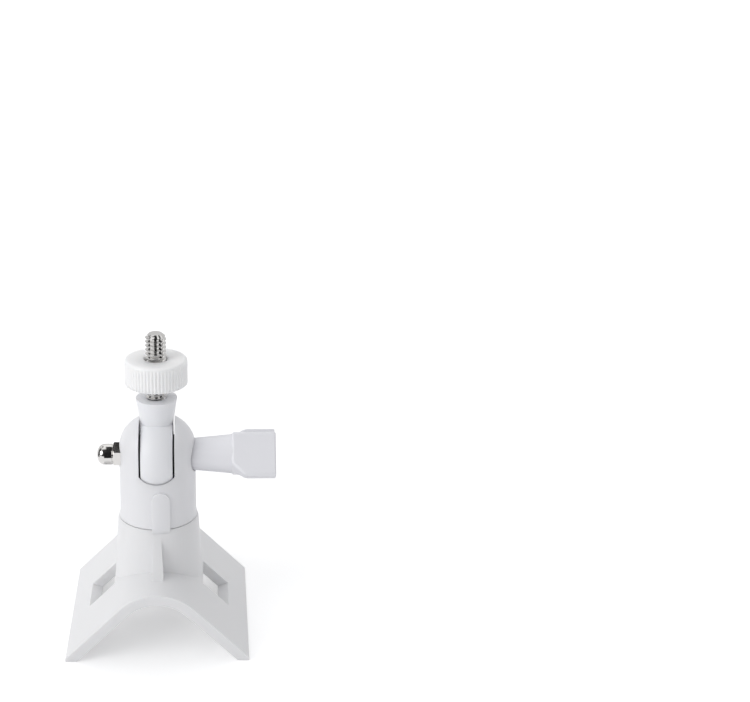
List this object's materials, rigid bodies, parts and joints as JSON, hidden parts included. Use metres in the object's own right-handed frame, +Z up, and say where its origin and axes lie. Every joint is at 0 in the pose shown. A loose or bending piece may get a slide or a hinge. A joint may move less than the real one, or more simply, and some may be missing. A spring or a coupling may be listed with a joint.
{
  "type": "camera pole mount bracket",
  "caption": "White bracket that straps to a pole: vee saddle with strap slots, panning head, clamped tilt arm and a camera thread with a ridged lock ring.",
  "frame": {"origin": "on the pan axis, level with the saddle's two feet", "axes": "+Z up along the pan axis and the camera thread, +X along the clamp bolt towards its knob, Y along the pole with the head's rib at -Y"},
  "size_m": [0.0639, 0.0556, 0.0953],
  "materials": {
    "white_plastic": "satin moulded white",
    "arm_plastic": "satin moulded white",
    "knob_plastic": "satin moulded white",
    "ring_plastic": "satin moulded white",
    "nickel_stud": "bright nickel plate, rolled thread",
    "bright_nickel": "polished nickel plate",
    "zinc_steel": "zinc plate",
    "spring_steel": "dark spring steel",
    "friction_rubber": "dark fibre"
  },
  "bodies": {
    "saddle": {"pole_saddle": "white_plastic"},
    "head": {"swivel_head": "white_plastic", "acorn_nut": "bright_nickel", "pan_screw": "zinc_steel", "pan_washer": "zinc_steel", "pan_spring_washer": "spring_steel", "friction_washer_left": "friction_rubber", "friction_washer_right": "friction_rubber"},
    "arm": {"tilt_arm": "arm_plastic", "camera_stud": "nickel_stud"},
    "ring": {"lock_ring": "ring_plastic"},
    "washer": {"clamp_washer": "zinc_steel"},
    "knob": {"clamp_knob": "knob_plastic", "clamp_bolt": "zinc_steel"}
  },
  "joints": [
    {"name": "pan_turn", "type": "hinge", "parent": "saddle", "child": "head", "pos_m": [0, 0, 0.036], "axis": [0, 0, 1], "continuous": true},
    {"name": "arm_tilt", "type": "hinge", "parent": "head", "child": "arm", "pos_m": [0, 0, 0.056], "axis": [1, 0, 0], "range_deg": [-85, 85]},
    {"name": "ring_travel", "type": "slide", "parent": "arm", "child": "ring", "axis": [0, 0, 1], "range_m": [-0.0044, 0.0068]},
    {"name": "screw_travel", "type": "slide", "parent": "head", "child": "washer", "axis": [1, 0, 0], "range_m": [0, 0.0049]},
    {"name": "knob_turn", "type": "hinge", "parent": "washer", "child": "knob", "pos_m": [0.0226, 0, 0.056], "axis": [1, 0, 0], "range_deg": [0, 2530]}
  ],
  "couplings": [
    {"joint": "knob_turn", "follows": "screw_travel", "rad_per_m": 8976}
  ]
}
